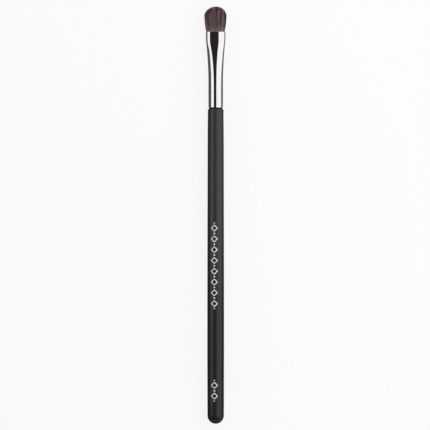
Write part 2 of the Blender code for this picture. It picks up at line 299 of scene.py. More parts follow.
@dataclass(frozen=True)
class FoilChain:
    """A chain of lozenges and dots in pale foil along the handle's upper side.

    Attributes:
        start: Brush height where the chain starts.
        count: Number of lozenges.
        side: How far its middle line lies to the right of the handle's.
        pitch: Length of one lozenge with its dot.
        half_width: Half the width of a lozenge.
        line: Width of the lozenges' line.
        dot: Radius of the dots.
    """

    start: float
    count: int
    side: float = -0.55 * MM
    pitch: float = 4.38 * MM
    half_width: float = 1.45 * MM
    line: float = 0.5 * MM
    dot: float = 0.36 * MM

    def mask(self, sheet: NodeSheet, axis: BrushAxis) -> bpy.types.NodeSocket:
        """Draws the chain on object coordinates.

        Args:
            sheet: Sheet of the material that carries the foil.
            axis: The brush's axis.

        Returns:
            One where there is foil and zero elsewhere.
        """
        place = sheet.parts(sheet.coordinates())
        across = sheet.math("ABSOLUTE", sheet.math("SUBTRACT", place[0], self.side))
        along = sheet.math("SUBTRACT", place[1], axis.butt.y + self.start)
        link_share = sheet.math("FRACT", sheet.math("DIVIDE", along, self.pitch))
        off_middle = sheet.math("MULTIPLY", sheet.math("SUBTRACT", link_share, 0.5), self.pitch)
        from_middle = sheet.math("ABSOLUTE", off_middle)
        to_end = sheet.math("SUBTRACT", self.pitch / 2, from_middle)
        width_share = sheet.math("DIVIDE", across, self.half_width)
        length_share = sheet.math("DIVIDE", from_middle, self.pitch / 2 - 2 * self.dot)
        half_line = self.line / self.half_width / 2
        reach = sheet.math("ADD", width_share, length_share)
        lozenge = sheet.math("COMPARE", reach, 1 - half_line, half_line)
        drawn = sheet.math("MAXIMUM", lozenge, self.disc(sheet, across, to_end))
        half_length = self.pitch * self.count / 2
        inside = sheet.math("COMPARE", along, half_length, half_length)
        upper = sheet.math("GREATER_THAN", place[2], axis.butt.z)
        return sheet.math("MULTIPLY", drawn, sheet.math("MULTIPLY", inside, upper))

    def disc(
        self, sheet: NodeSheet, across: bpy.types.NodeSocket, along: bpy.types.NodeSocket
    ) -> bpy.types.NodeSocket:
        """Returns one inside a dot's radius and zero outside it."""
        squares = (sheet.math("POWER", across, 2.0), sheet.math("POWER", along, 2.0))
        return sheet.math("LESS_THAN", sheet.math("ADD", *squares), self.dot**2)


@dataclass(frozen=True)
class LacquerFinish:
    """Satin black lacquer with a faint skin texture and pale foil ornament.

    Attributes:
        colour: Colour of the lacquer near the butt.
        worn: Colour of its paler streaks.
        painted_light: Colour that it pales to near the ferrule, painted light standing in for the
            stronger light on the handle's upper part.
        gap_shade: Near-black colour above the shoulder, painted shade in the gap under the ferrule.
        foil: Colour of the ornament.
        roughness: Lowest and highest roughness.
        grain: Fine and broad scale of its unevenness.
        streaks: Scale of its streaks across and along the brush.
        relief: Strength and depth of its bump.
        painted_light_span: Brush heights between which the painted light pales it.
        chains: The ornament's chains.
    """

    colour: Colour = (0.0120, 0.0115, 0.0175, 1.0)
    worn: Colour = (0.0160, 0.0155, 0.0220, 1.0)
    painted_light: Colour = (0.0340, 0.0330, 0.0395, 1.0)
    gap_shade: Colour = (0.0070, 0.0070, 0.0070, 1.0)
    foil: Colour = (0.90, 0.90, 0.92, 1.0)
    roughness: Span = (0.29, 0.37)
    grain: Span = (5200.0, 190.0)
    streaks: Span = (900.0, 30.0)
    relief: Span = (0.2, 0.012 * MM)
    painted_light_span: Span = (46.0 * MM, 86.0 * MM)
    chains: tuple[FoilChain, ...] = (
        FoilChain(start=9.2 * MM, count=2),
        FoilChain(start=46.8 * MM, count=8),
    )

    def material(self, axis: BrushAxis, shoulder: float) -> bpy.types.Material:
        """Builds the lacquer's material.

        Args:
            axis: The brush's axis.
            shoulder: Brush height of the shoulder, above which the colour is painted near-black as
                shade in the gap under the ferrule.

        Returns:
            The material.
        """
        paint = Paint("black_lacquer", IOR=1.5)
        sheet = paint.sheet
        grain = paint.group(grain_group(), *self.grain)
        streaks = paint.group(streak_group(), *self.streaks)
        foil = sheet.math("MAXIMUM", *(chain.mask(sheet, axis) for chain in self.chains))
        along = sheet.parts(sheet.coordinates())[1]
        # Painted light: the lacquer is painted paler towards the ferrule, standing in for the
        # stronger light on the handle's upper part.
        low, high = (axis.butt.y + height for height in self.painted_light_span)
        lacquer = sheet.mix(streaks, self.colour, self.worn)
        lacquer = sheet.mix(sheet.span(along, given=(low, high)), lacquer, self.painted_light)
        lacquer = sheet.mix(foil, lacquer, self.foil)
        # Painted shade: above the shoulder, in the gap under the ferrule, the colour is painted
        # near-black; the roughness is raised there too.
        gap_shade = sheet.math("GREATER_THAN", along, axis.butt.y + shoulder)
        paint.feed("Base Color", sheet.mix(gap_shade, lacquer, self.gap_shade))
        roughness = sheet.span(grain, wanted=self.roughness)
        paint.feed("Roughness", sheet.math("MAXIMUM", roughness, gap_shade))
        paint.bump(sheet.math("ADD", grain, foil), *self.relief)
        return paint.material


@dataclass(frozen=True)
class PlatedFinish:
    """Bright plating over drawn metal, with faint drawing lines along the tube.

    Attributes:
        light: Colour of the bright places.
        dull: Colour of the places with a breath of tarnish.
        roughness: Lowest and highest roughness.
        lines: Scale of the drawing lines across and along the tube.
        cloud: Fine and broad scale of the dull places.
        relief: Strength and depth of its bump.
    """

    light: Colour = (0.93, 0.93, 0.935, 1.0)
    dull: Colour = (0.86, 0.86, 0.87, 1.0)
    roughness: Span = (0.045, 0.12)
    lines: Span = (7000.0, 45.0)
    cloud: Span = (1400.0, 160.0)
    relief: Span = (0.12, 0.004 * MM)

    def material(self) -> bpy.types.Material:
        """Builds the plating's material."""
        paint = Paint("plated_metal", Metallic=1.0)
        sheet = paint.sheet
        lines = paint.group(streak_group(), *self.lines)
        cloud = paint.group(grain_group(), *self.cloud)
        paint.feed("Base Color", sheet.mix(cloud, self.dull, self.light))
        uneven = sheet.math("MULTIPLY", lines, cloud)
        paint.feed("Roughness", sheet.span(uneven, wanted=self.roughness))
        paint.bump(lines, *self.relief)
        return paint.material


@dataclass(frozen=True)
class HairFinish:
    """Dark brown hair with a mauve cast, a little paler near the ferrule.

    Attributes:
        dark: Colour of the darkest strands.
        light: Colour of the lightest strands.
        root: Colour that the hair pales to near the ferrule.
        red: Colour of the few reddish strands.
        tone_range: Tones that give the dark and the light colour.
        strand_say: Share of a strand's own tone in it, the rest being streaks.
        red_from: Tone from which a strand is reddish.
        pale_span: Ways to the tip where the hair is no longer pale and where it is palest.
        pale_share: How far it pales at most.
        streaks: Scale of the streaks across and along the brush.
    """

    dark: Colour = (0.045, 0.026, 0.026, 1.0)
    light: Colour = (0.480, 0.300, 0.312, 1.0)
    root: Colour = (0.440, 0.310, 0.320, 1.0)
    red: Colour = (0.300, 0.075, 0.100, 1.0)
    tone_range: Span = (0.30, 0.80)
    strand_say: float = 0.66
    red_from: float = 0.95
    pale_span: Span = (0.52, 0.16)
    pale_share: float = 0.55
    streaks: Span = (1900.0, 70.0)

    def material(self) -> bpy.types.Material:
        """Builds the material of the strands, whose map holds their tone and the way to the tip."""
        paint = Paint("brown_hair", Roughness=0.5, IOR=1.55, Specular_IOR_Level=0.4)
        sheet = paint.sheet
        strand = sheet.parts(sheet.add("UVMap", uv_map="strand").outputs[0])
        streaks = paint.group(streak_group(), *self.streaks)
        own = sheet.math("MULTIPLY", strand[0], self.strand_say)
        tone = sheet.math("ADD", own, sheet.math("MULTIPLY", streaks, 1 - self.strand_say))
        body = sheet.mix(sheet.span(tone, given=self.tone_range), self.dark, self.light)
        body = sheet.mix(sheet.math("GREATER_THAN", strand[0], self.red_from), body, self.red)
        near_root = sheet.span(strand[1], given=self.pale_span, wanted=(0.0, self.pale_share))
        paint.feed("Base Color", sheet.mix(near_root, body, self.root))
        return paint.material


@dataclass(frozen=True)
class CoreFinish:
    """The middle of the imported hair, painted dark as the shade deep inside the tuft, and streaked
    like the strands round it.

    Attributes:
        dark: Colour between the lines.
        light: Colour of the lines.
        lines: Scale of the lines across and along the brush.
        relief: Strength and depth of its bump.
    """

    dark: Colour = (0.020, 0.013, 0.013, 1.0)
    light: Colour = (0.060, 0.038, 0.038, 1.0)
    lines: Span = (9000.0, 120.0)
    relief: Span = (0.6, 0.03 * MM)

    def material(self) -> bpy.types.Material:
        """Builds the material of the hair's middle."""
        paint = Paint("packed_hair", Roughness=0.75)
        lines = paint.group(streak_group(), *self.lines)
        # Painted shade: both colours are far darker than the strands', for the shade inside the
        # packed hair.
        paint.feed("Base Color", paint.sheet.mix(lines, self.dark, self.light))
        paint.bump(lines, *self.relief)
        return paint.material


@dataclass(frozen=True)
class SetFinish:
    """A cast or wrapped material inside the ferrule: resin, adhesive or thread.

    Attributes:
        name: The material's name.
        dark: Colour in the hollows.
        light: Colour of the rest.
        roughness: Lowest and highest roughness.
        fine: Fine scale of its grain.
        breadth: How many times coarser its broad grain is.
        relief: Strength and depth of its bump.
    """

    name: str
    dark: Colour
    light: Colour
    roughness: Span
    fine: float
    breadth: float = 8.0
    relief: Span = (0.3, 0.02 * MM)

    def material(self) -> bpy.types.Material:
        """Builds the material."""
        paint = Paint(self.name)
        grain = paint.group(grain_group(), self.fine, self.fine / self.breadth)
        paint.feed("Base Color", paint.sheet.mix(grain, self.dark, self.light))
        paint.feed("Roughness", paint.sheet.span(grain, wanted=self.roughness))
        paint.bump(grain, *self.relief)
        return paint.material


RESIN = SetFinish(
    name="clear_resin",
    dark=(0.42, 0.27, 0.10, 1.0),
    light=(0.70, 0.52, 0.27, 1.0),
    roughness=(0.1, 0.2),
    fine=2200.0,
)
ADHESIVE = SetFinish(
    name="wood_glue",
    dark=(0.70, 0.62, 0.44, 1.0),
    light=(0.86, 0.80, 0.66, 1.0),
    roughness=(0.4, 0.6),
    fine=3000.0,
)
THREAD = SetFinish(
    name="cotton_thread",
    dark=(0.56, 0.52, 0.43, 1.0),
    light=(0.78, 0.74, 0.64, 1.0),
    roughness=(0.7, 0.9),
    fine=9000.0,
)


def mesh_of(name: str, work: bmesh.types.BMesh) -> bpy.types.Mesh:
    """Turns a bmesh into a mesh and frees it."""
    mesh = bpy.data.meshes.new(name)
    work.to_mesh(mesh)
    work.free()
    return mesh


def linked(name: str, data: bpy.types.ID) -> bpy.types.Object:
    """Puts a new object with its data into the scene."""
    item = bpy.data.objects.new(name, data)
    bpy.context.scene.collection.objects.link(item)
    return item


def finished_piece(
    name: str,
    work: bmesh.types.BMesh,
    axis: BrushAxis,
    material: bpy.types.Material,
    crease_degrees: float = 35.0,
) -> bpy.types.Object:
    """Turns a bmesh drawn in brush heights into a finished piece on the brush's body.

    Args:
        name: The piece's name.
        work: The bmesh, which is freed.
        axis: The brush's axis.
        material: The piece's material.
        crease_degrees: Bend from which an edge is shaded as a crease.

    Returns:
        The piece's object.
    """
    mesh = mesh_of(name, work)
    mesh.shade_smooth()
    mesh.set_sharp_from_angle(angle=math.radians(crease_degrees))
    mesh.materials.append(material)
    mesh.transform(axis.placing)
    piece = linked(name, mesh)
    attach(piece, "root")
    LOG.info("%s: %d faces", name, len(mesh.polygons))
    return piece


def turned(outline: Outline) -> bmesh.types.BMesh:
    """Spins an outline of radius and height about the brush's axis.

    Args:
        outline: Points from the top of the axis down to its lower end.

    Returns:
        The closed turned body.
    """
    work = bmesh.new()
    points = [work.verts.new((radius, 0.0, height)) for radius, height in outline]
    edges = [work.edges.new(pair) for pair in zip(points, points[1:])]
    bmesh.ops.spin(
        work,
        geom=points + edges,
        cent=(0.0, 0.0, 0.0),
        axis=(0.0, 0.0, 1.0),
        dvec=(0.0, 0.0, 0.0),
        angle=math.tau,
        steps=AROUND,
        use_merge=True,
        use_normal_flip=False,
        use_duplicate=False,
    )
    bmesh.ops.remove_doubles(work, verts=work.verts, dist=MERGE)
    bmesh.ops.recalc_face_normals(work, faces=work.faces)
    return work


@dataclass(frozen=True)
class Section:
    """One cross-section: a rounded oval at a brush height.

    Attributes:
        half_width: Half its size along X.
        half_depth: Half its size along Y.
        exponent: Its squareness, two for an ellipse.
        height: Its brush height.
    """

    half_width: float
    half_depth: float
    exponent: float
    height: float

    def point(self, turn: float) -> Vector:
        """Returns the oval's point at a turn in radians, counter-clockwise from +X."""
        across, along = math.cos(turn), math.sin(turn)
        power = 2 / self.exponent
        x = self.half_width * math.copysign(abs(across) ** power, across)
        y = self.half_depth * math.copysign(abs(along) ** power, along)
        return Vector((x, y, self.height))

    def inset(self, depth: float) -> Section:
        """Returns the oval that lies inside this one by a depth."""
        return Section(self.half_width - depth, self.half_depth - depth, self.exponent, self.height)

    def scaled(self, share: float, height: float) -> Section:
        """Returns the oval at a share of this one's size and at another height."""
        return Section(self.half_width * share, self.half_depth * share, self.exponent, height)


def drawn_tube(sections: list[Section], ring: bool) -> bmesh.types.BMesh:
    """Extrudes a circle through a row of sections.

    Args:
        sections: The sections in the order of the extrusion.
        ring: Whether the last section joins the first, as round a tube's wall. Otherwise both
            ends are capped.

    Returns:
        The closed body.
    """
    work = bmesh.new()
    number = work.verts.layers.int.new("number")
    circle = bmesh.ops.create_circle(work, cap_ends=False, radius=1.0, segments=AROUND)["verts"]
    circle.sort(key=lambda vertex: math.atan2(vertex.co.y, vertex.co.x) % math.tau)
    for index, vertex in enumerate(circle):
        vertex[number] = index
    edges = list(work.edges)
    first = edges
    loop = circle
    for step, section in enumerate(sections):
        if step:
            grown = bmesh.ops.extrude_edge_only(work, edges=edges)["geom"]
            loop = [item for item in grown if isinstance(item, bmesh.types.BMVert)]
            edges = [item for item in grown if isinstance(item, bmesh.types.BMEdge)]
        for vertex in loop:
            vertex.co = section.point(math.tau * vertex[number] / AROUND)
    if ring:
        bmesh.ops.bridge_loops(work, edges=first + edges)
    else:
        bmesh.ops.holes_fill(work, edges=first + edges, sides=AROUND)
    bmesh.ops.recalc_face_normals(work, faces=work.faces)
    return work


@dataclass
class Handle:
    """Turned wooden handle in matt black lacquer, with its tenon inside the ferrule.

    Attributes:
        axis: The brush's axis.
        ferrule_start: Brush height of the ferrule's lower end.
        top: Brush height of the tenon's end.
        finish: The lacquer.
        standoff: How far below the ferrule the shoulder lies.
        clearance: How far below the ferrule the collar ends.
        round_height: How far down from the shoulder it is rounded.
        round_depth: How far the rounding draws it in.
        crease_degrees: Bend from which an edge is shaded as a crease.
        swell_shares: Places on the way up to the shoulder, with the share of the belly's swell.
    """

    axis: BrushAxis
    ferrule_start: float
    top: float
    finish: LacquerFinish = field(default_factory=LacquerFinish)
    standoff: float = 0.55 * MM
    clearance: float = 0.05 * MM
    belly_radius: float = 3.42 * MM
    neck_radius: float = 3.195 * MM
    butt_radius: float = 3.34 * MM
    tenon_radius: float = 2.4 * MM
    collar_radius: float = 2.75 * MM
    tenon_chamfer: float = 0.5 * MM
    round_height: float = 0.7 * MM
    round_depth: float = 0.35 * MM
    round_steps: int = 10
    butt_steps: int = 24
    crease_degrees: float = 11.0
    swell_shares: tuple[Span, ...] = (
        (0.073, 0.78),
        (0.150, 0.88),
        (0.234, 1.0),
        (0.392, 0.93),
        (0.484, 0.87),
        (0.874, 0.42),
        (0.933, 0.27),
        (0.971, 0.02),
    )

    @property
    def shoulder(self) -> float:
        """Brush height of the shoulder under the ferrule."""
        return self.ferrule_start - self.standoff

    def outline(self) -> Outline:
        """Returns the outline from the middle of the tenon's end down to the butt's pole."""
        collar_top = self.ferrule_start - self.clearance
        points = [
            (0.0, self.top),
            (self.tenon_radius - self.tenon_chamfer, self.top),
            (self.tenon_radius, self.top - self.tenon_chamfer),
            (self.tenon_radius, collar_top),
            (self.collar_radius, collar_top),
            (self.collar_radius, self.shoulder),
        ]
        for cosine, sine in quarter_round(self.round_steps):
            radius = self.neck_radius - self.round_depth * (1 - sine)
            points.append((radius, self.shoulder - self.round_height * (1 - cosine)))
        for place_share, swell_share in reversed(self.swell_shares):
            radius = between(self.neck_radius, self.belly_radius, swell_share)
            points.append((radius, self.shoulder * place_share))
        for cosine, sine in quarter_round(self.butt_steps):
            points.append((self.butt_radius * cosine, self.butt_radius * (1 - sine)))
        return points

    def body(self) -> bmesh.types.BMesh:
        """Returns the turned handle, cut flat underneath where it lies on the table."""
        work = turned(self.outline())
        point, down = self.axis.table()
        cut = bmesh.ops.bisect_plane(
            work,
            geom=[*work.verts, *work.edges, *work.faces],
            dist=MERGE,
            plane_co=point,
            plane_no=down,
            clear_outer=True,
        )
        rim = [item for item in cut["geom_cut"] if isinstance(item, bmesh.types.BMEdge)]
        bmesh.ops.holes_fill(work, edges=rim, sides=len(rim))
        return work

    def build(self) -> bpy.types.Object:
        """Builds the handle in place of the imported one."""
        work = self.body()
        finish = self.finish.material(self.axis, self.shoulder)
        piece = finished_piece(
            "lacquered_handle", work, self.axis, finish, self.crease_degrees
        )
        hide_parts("handle")
        return piece


@dataclass
class Ferrule:
    """Drawn and plated tube, round where it grips the handle and pressed flat at its mouth.

    Attributes:
        axis: The brush's axis.
        start: Brush height of the lower end.
        mouth: Brush height of the mouth.
        finish: The plating.
        base_exponent: Squareness of the section at the lower end.
        mouth_exponent: Squareness of the section at the mouth.
        flatten_span: Heights above the lower end between which the tube is pressed flat.
        flare_span: Heights above the lower end between which it widens.
        press_power: Power of the pressing, which comes later above one.
        lip_height: Height of the lip at the lower end, which is rolled in.
        lip_tuck: How far it is rolled in.
    """

    axis: BrushAxis
    start: float
    mouth: float
    finish: PlatedFinish = field(default_factory=PlatedFinish)
    wall: float = 0.3 * MM
    base_radius: float = 2.95 * MM
    mouth_half_width: float = 3.96 * MM
    mouth_half_depth: float = 1.8 * MM
    base_exponent: float = 2.0
    mouth_exponent: float = 2.4
    flatten_span: Span = (7.65 * MM, 25.65 * MM)
    flare_span: Span = (9.65 * MM, 27.65 * MM)
    press_power: float = 2.0
    lip_height: float = 1.6 * MM
    lip_tuck: float = 0.15 * MM
    lip_steps: int = 8
    rim_steps: int = 6
    steps: int = 56

    def section(self, height: float) -> Section:
        """Returns the ferrule's outer section at a brush height."""
        place = height - self.start
        wide = way_share(place, *self.flare_span, self.press_power)
        flat = way_share(place, *self.flatten_span, self.press_power)
        return Section(
            between(self.base_radius, self.mouth_half_width, wide),
            between(self.base_radius, self.mouth_half_depth, flat),
            between(self.base_exponent, self.mouth_exponent, flat),
            height,
        )

    def wall_sections(self) -> list[Section]:
        """Returns the sections up the outside, over the rounded rim and down the bore."""
        lip = [
            (self.start + self.lip_height * (1 - sine), self.lip_tuck * (1 - cosine))
            for cosine, sine in reversed(quarter_round(self.lip_steps))
        ]
        rim = self.wall / 2
        rise = np.linspace(self.start + self.lip_height, self.mouth - rim, self.steps)[1:]
        shell = lip + [(float(height), 0.0) for height in rise]
        outside = [self.section(height).inset(tuck) for height, tuck in shell]
        crest = [
            self.section(self.mouth - rim + rim * math.sin(turn)).inset(rim * (1 - math.cos(turn)))
            for turn in np.linspace(0.0, math.pi, 2 * self.rim_steps + 1)[1:-1]
        ]
        bore = [self.section(height).inset(tuck + self.wall) for height, tuck in reversed(shell)]
        return outside + crest + bore

    def build(self) -> bpy.types.Object:
        """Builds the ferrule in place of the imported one."""
        work = drawn_tube(self.wall_sections(), ring=True)
        finish = self.finish.material()
        piece = finished_piece("plated_ferrule", work, self.axis, finish)
        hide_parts("ferrule")
        return piece


@dataclass(frozen=True)
class Strand:
    """One hair: its line from foot to tip, its tone and the turn of its section."""

    points: list[Vector]
    tone: float
    turn: float


@dataclass
class HairTuft:
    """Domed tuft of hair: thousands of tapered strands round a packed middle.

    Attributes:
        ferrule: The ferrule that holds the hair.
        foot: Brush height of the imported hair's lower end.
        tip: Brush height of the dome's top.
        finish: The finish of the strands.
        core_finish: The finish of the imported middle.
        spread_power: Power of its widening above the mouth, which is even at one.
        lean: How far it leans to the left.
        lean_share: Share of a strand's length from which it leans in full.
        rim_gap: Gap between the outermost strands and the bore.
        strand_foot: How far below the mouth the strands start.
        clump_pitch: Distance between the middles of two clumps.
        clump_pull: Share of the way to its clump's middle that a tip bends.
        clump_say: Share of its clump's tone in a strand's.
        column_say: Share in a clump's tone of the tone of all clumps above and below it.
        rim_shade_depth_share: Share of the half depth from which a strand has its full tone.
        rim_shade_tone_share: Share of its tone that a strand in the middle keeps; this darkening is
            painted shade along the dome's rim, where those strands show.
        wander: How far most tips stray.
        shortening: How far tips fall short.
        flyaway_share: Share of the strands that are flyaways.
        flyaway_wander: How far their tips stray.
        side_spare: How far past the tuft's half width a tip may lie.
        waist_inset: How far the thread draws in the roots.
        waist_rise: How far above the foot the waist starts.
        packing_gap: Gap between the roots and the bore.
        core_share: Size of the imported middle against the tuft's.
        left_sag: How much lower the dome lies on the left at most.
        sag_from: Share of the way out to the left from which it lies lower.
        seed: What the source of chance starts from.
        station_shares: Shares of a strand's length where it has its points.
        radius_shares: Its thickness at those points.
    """

    ferrule: Ferrule
    foot: float
    tip: float
    finish: HairFinish = field(default_factory=HairFinish)
    core_finish: CoreFinish = field(default_factory=CoreFinish)
    half_width: float = 4.49 * MM
    half_depth: float = 2.7 * MM
    dome_height: float = 4.3 * MM
    dome_exponent: float = 2.2
    spread_power: float = 0.5
    lean: float = 0.1 * MM
    lean_share: float = 0.22
    rim_gap: float = 0.04 * MM
    strand_foot: float = 1.6 * MM
    strand_radius: float = 0.027 * MM
    strands: int = 9600
    clump_pitch: float = 0.46 * MM
    clump_pull: float = 0.35
    clump_say: float = 0.75
    column_say: float = 0.6
    rim_shade_depth_share: float = 0.45
    rim_shade_tone_share: float = 0.6
    wander: float = 0.09 * MM
    turn_jitter: float = 0.3
    shortening: float = 0.3 * MM
    flyaway_share: float = 0.012
    flyaway_wander: float = 0.28 * MM
    side_spare: float = 0.045 * MM
    waist_inset: float = 0.58 * MM
    waist_rise: float = 1.4 * MM
    waist_length: float = 1.44 * MM
    packing_gap: float = 0.1 * MM
    core_share: float = 0.8
    packed_steps: int = 7
    free_steps: int = 6
    crown_steps: int = 8
    left_sag: float = 0.2 * MM
    sag_from: float = 0.1
    seed: int = 14
    station_shares: tuple[float, ...] = (0.0, 0.12, 0.22, 0.4, 0.62, 0.82, 0.94, 1.0)
    radius_shares: tuple[float, ...] = (1.0, 1.0, 1.05, 1.1, 1.1, 0.95, 0.7, 0.3)

    @property
    def belly(self) -> float:
        """Brush height where the tuft is widest."""
        return self.tip - self.dome_height

    def outer_section(self, height: float) -> Section:
        """Returns the tuft's outer section at a brush height."""
        mouth = self.ferrule.mouth
        gap = self.ferrule.wall + self.rim_gap
        if height < mouth:
            return self.ferrule.section(height).inset(gap)
        start = self.ferrule.section(mouth).inset(gap)
        opening = way_share(height, mouth, self.belly, self.spread_power)
        return Section(
            between(start.half_width, self.half_width, opening),
            between(start.half_depth, self.half_depth, opening),
            start.exponent,
            height,
        )

    def dome(self, reach: float) -> float:
        """Returns the dome's height above the belly at a reach of zero to one from the middle."""
        fall = min(reach, 1.0) ** self.dome_exponent
        return self.dome_height * (1 - fall) ** (1 / self.dome_exponent)

    def sag(self, leftward: float) -> float:
        """Returns how far the dome lies lower at a share of the way out to the left."""
        return self.left_sag * math.sin(math.pi * way_share(leftward, self.sag_from, 1.0))

    def strands_of(self, rng: random.Random) -> dict[HairLayer, list[Strand]]:
        """Lays out every strand.

        Args:
            rng: The seeded source of chance.

        Returns:
            The strands of each layer.
        """
        golden_turn = math.pi * (3 - math.sqrt(5))
        foot = self.ferrule.mouth - self.strand_foot
        clump_tones: dict[tuple[int, int], float] = {}
        column_tones: dict[int, float] = {}
        layers: dict[HairLayer, list[Strand]] = {layer: [] for layer in HairLayer}
        for index in range(self.strands):
            reach = math.sqrt((index + 0.5) / self.strands)
            turn = index * golden_turn + rng.uniform(-self.turn_jitter, self.turn_jitter)
            stray = self.flyaway_wander if rng.random() < self.flyaway_share else self.wander
            drift = Vector((rng.gauss(0.0, stray), rng.gauss(0.0, stray), 0.0))
            tip = self.belly + self.dome(reach) - abs(rng.gauss(0.0, self.shortening))
            belly_place = self.outer_section(self.belly).point(turn) * reach
            tip -= self.sag(-belly_place.x / self.half_width)
            clump, pull = self.clump_at(belly_place)
            clump_tone = clump_tones.setdefault(clump, rng.random())
            column = round(belly_place.x / self.clump_pitch)
            column_tone = column_tones.setdefault(column, rng.random())
            clump_tone = between(clump_tone, column_tone, self.column_say)
            bend = pull * self.clump_pull + drift
            spare = self.half_width + self.side_spare - abs(belly_place.x)
            bend.x = min(max(bend.x, -spare), spare)
            points = []
            for share in self.station_shares:
                height = between(foot, tip, share)
                place = self.outer_section(height).point(turn) * reach
                place += bend * share**2
                place.x -= self.lean * min(share / self.lean_share, 1.0)
                place.z = height
                points.append(place)
            layer = list(HairLayer)[index * len(HairLayer) // self.strands]
            tone = between(rng.random(), clump_tone, self.clump_say)
            # Painted shade: strands in the middle of the tuft's depth, which show only along the
            # dome's rim, are painted darker.
            depth_share = abs(belly_place.y) / self.half_depth / self.rim_shade_depth_share
            tone *= between(self.rim_shade_tone_share, 1.0, min(depth_share, 1.0))
            layers[layer].append(Strand(points, tone, rng.uniform(0.0, math.tau)))
        return layers

    def clump_at(self, place: Vector) -> tuple[tuple[int, int], Vector]:
        """Finds a strand's clump.

        Args:
            place: Where the strand crosses the belly.

        Returns:
            The clump's row and column, and the way from the strand to the clump's middle.
        """
        row = round(place.y / self.clump_pitch)
        offset = (row % 2) * self.clump_pitch / 2
        column = round((place.x - offset) / self.clump_pitch)
        middle = Vector((column * self.clump_pitch + offset, row * self.clump_pitch, 0.0))
        return (row, column), middle - Vector((place.x, place.y, 0.0))

    def grow(self, strands: list[Strand]) -> bmesh.types.BMesh:
        """Extrudes a small triangle along every strand's line and closes both ends.

        Args:
            strands: The strands, all with as many points.

        Returns:
            The strands, with a map of their tone across and the way to the tip along.
        """
        sides = 3
        work = bmesh.new()
        number = work.verts.layers.int.new("number")
        along = work.verts.layers.float.new("along")
        for index, strand in enumerate(strands):
            corners = []
            for side in range(sides):
                turn = strand.turn + math.tau * side / sides
                offset = Vector((math.cos(turn), math.sin(turn), 0.0)) * self.strand_radius
                corner = work.verts.new(strand.points[0] + offset)
                corner[number] = index
                corners.append(corner)
            work.faces.new(corners)
        ends = list(work.faces)
        for step in range(1, len(self.station_shares)):
            ends = bmesh.ops.extrude_discrete_faces(work, faces=ends)["faces"]
            ratio = self.radius_shares[step] / self.radius_shares[step - 1]
            for end in ends:
                for corner in end.verts:
                    points = strands[corner[number]].points
                    corner.co = points[step] + (corner.co - points[step - 1]) * ratio
                    corner[along] = self.station_shares[step]
        rims = [edge for edge in work.edges if edge.is_boundary]
        bmesh.ops.holes_fill(work, edges=rims, sides=sides)
        strand_map = work.loops.layers.uv.new("strand")
        for face in work.faces:
            for loop in face.loops:
                loop[strand_map].uv = (strands[loop.vert[number]].tone, loop.vert[along])
        return work

    def core_sections(self) -> list[Section]:
        """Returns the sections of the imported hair, with the waist that the thread draws in."""
        low = self.foot + self.waist_rise
        high = low + self.waist_length
        wall = self.ferrule.wall
        skin = wall + self.packing_gap
        waist = wall + self.waist_inset
        inside = [
            (self.foot, skin),
            (low - 2 * self.packing_gap, skin),
            (low - self.packing_gap, waist),
            (high + self.packing_gap, waist),
            (high + 2 * self.packing_gap, skin),
        ]
        sections = [self.ferrule.section(height).inset(depth) for height, depth in inside]
        packed_top = self.ferrule.mouth - self.strand_foot
        for height in np.linspace(sections[-1].height, packed_top, self.packed_steps + 1)[1:]:
            sections.append(self.ferrule.section(float(height)).inset(skin))
        for share in np.linspace(0.0, 1.0, self.free_steps + 1)[1:]:
            height = between(packed_top, self.belly, float(share))
            hold = between(1.0, self.core_share, float(share))
            sections.append(self.outer_section(height).scaled(hold, height))
        widest = self.outer_section(self.belly).scaled(self.core_share, self.belly)
        for cosine, sine in quarter_round(self.crown_steps)[1:-1]:
            height = self.belly + self.dome_height * self.core_share * sine
            sections.append(widest.scaled(cosine, height))
        return sections

    def build(self) -> list[bpy.types.Object]:
        """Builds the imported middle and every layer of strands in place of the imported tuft."""
        axis = self.ferrule.axis
        layers = self.strands_of(random.Random(self.seed))
        work = drawn_tube(self.core_sections(), ring=False)
        finish = self.core_finish.material()
        pieces = [finished_piece("packed_hair", work, axis, finish)]
        finish = self.finish.material()
        for layer, strands in layers.items():
            work = self.grow(strands)
            pieces.append(finished_piece(layer.value, work, axis, finish))
        for piece in pieces:
            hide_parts("hair_tuft")
        return pieces


